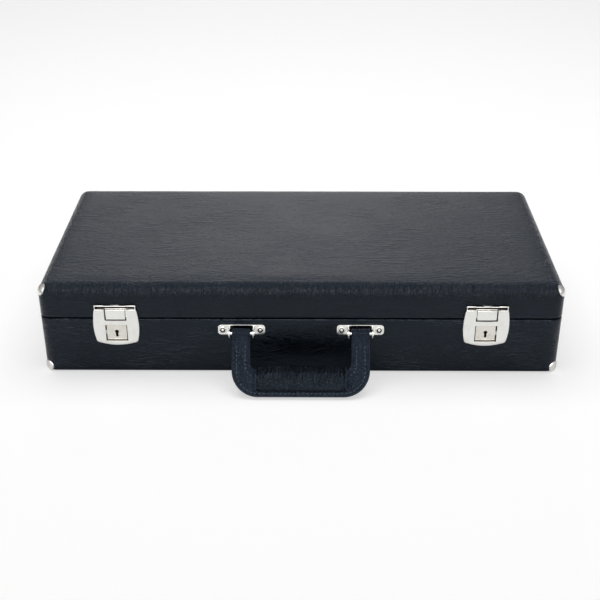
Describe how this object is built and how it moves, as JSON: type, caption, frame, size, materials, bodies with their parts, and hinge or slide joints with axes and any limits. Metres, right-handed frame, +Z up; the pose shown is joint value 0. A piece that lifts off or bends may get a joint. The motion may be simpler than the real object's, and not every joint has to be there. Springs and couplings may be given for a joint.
{
  "type": "instrument case",
  "caption": "Flat plywood case for a bass recorder, covered in leathercloth, with a hinged lid, nickel locks and a folding leather handle.",
  "frame": {"origin": "centre of the flat face that the case rests on, under the middle of its box", "axes": "+X along the case to the right as seen from the handle side, +Y from the handle side to the hinge side, +Z up out of the lid"},
  "size_m": [0.4808, 0.278, 0.09],
  "materials": {
    "lid_leathercloth": "dark grey leathercloth with a fine flowing wrinkle, satin",
    "base_leathercloth": "blue-black leathercloth with a fine grain, satin",
    "plywood": "plain birch plywood, hidden under the covering",
    "plush": "short-pile wine-red plush",
    "handle_leather": "blue-black leather, stitched, soft sheen",
    "spring_steel": "bare spring steel inside the handle",
    "nickel": "bright nickel plate"
  },
  "bodies": {
    "base": {"base_back_board": "plywood", "base_bottom_covering": "base_leathercloth", "base_bottom_panel": "plywood", "base_corner_caps": "nickel", "base_feet": "nickel", "base_front_board": "plywood", "base_left_board": "plywood", "base_right_board": "plywood", "base_wall_covering": "base_leathercloth", "bracket_rivets": "nickel", "cross_wall": "plush", "divider_front": "plush", "divider_rear": "plush", "floor_pad": "plush", "hinge_base_rivets": "nickel", "inner_frame_back": "plush", "inner_frame_front": "plush", "inner_frame_left": "plush", "inner_frame_right": "plush", "left_handle_bracket": "nickel", "left_handle_pin": "nickel", "left_hinge_base_leaf": "nickel", "left_hinge_pin": "nickel", "left_lock_case": "nickel", "lock_case_rivets": "nickel", "right_handle_bracket": "nickel", "right_handle_pin": "nickel", "right_hinge_base_leaf": "nickel", "right_hinge_pin": "nickel", "right_lock_case": "nickel", "saddle_front": "plush", "saddle_middle_left": "plush", "saddle_middle_right": "plush", "saddle_rear_left": "plush", "saddle_rear_right": "plush"},
    "lid": {"lid_back_board": "plywood", "lid_corner_caps": "nickel", "lid_covering": "lid_leathercloth", "lid_feet": "nickel", "lid_front_board": "plywood", "lid_left_board": "plywood", "lid_lining": "plush", "lid_pad": "plush", "lid_right_board": "plywood", "lid_top_panel": "plywood", "left_hinge_lid_leaf": "nickel", "right_hinge_lid_leaf": "nickel", "hinge_lid_rivets": "nickel", "left_lock_hinge_plate": "nickel", "right_lock_hinge_plate": "nickel", "lock_hinge_rivets": "nickel"},
    "left_flap": {"left_lock_flap": "nickel", "left_flap_pin": "nickel"},
    "right_flap": {"right_lock_flap": "nickel", "right_flap_pin": "nickel"},
    "left_slide": {"left_lock_slide": "nickel"},
    "right_slide": {"right_lock_slide": "nickel"},
    "handle": {"handle_core": "spring_steel", "handle_strap": "handle_leather", "handle_sleeve": "handle_leather"}
  },
  "joints": [
    {"name": "lid_hinge", "type": "hinge", "parent": "base", "child": "lid", "pos_m": [0, 0.1152, 0.05715], "axis": [-1, 0, 0], "range_deg": [0, 100]},
    {"name": "handle_hinge", "type": "hinge", "parent": "base", "child": "handle", "pos_m": [0, -0.119, 0.0456], "axis": [-1, 0, 0], "range_deg": [-40, 138]},
    {"name": "left_flap_hinge", "type": "hinge", "parent": "lid", "child": "left_flap", "pos_m": [-0.169, -0.1151, 0.0714], "axis": [-1, 0, 0], "range_deg": [0, 110]},
    {"name": "right_flap_hinge", "type": "hinge", "parent": "lid", "child": "right_flap", "pos_m": [0.169, -0.1151, 0.0714], "axis": [-1, 0, 0], "range_deg": [0, 110]},
    {"name": "left_slide_travel", "type": "slide", "parent": "base", "child": "left_slide", "axis": [-1, 0, 0], "range_m": [0, 0.003]},
    {"name": "right_slide_travel", "type": "slide", "parent": "base", "child": "right_slide", "axis": [1, 0, 0], "range_m": [0, 0.003]}
  ]
}
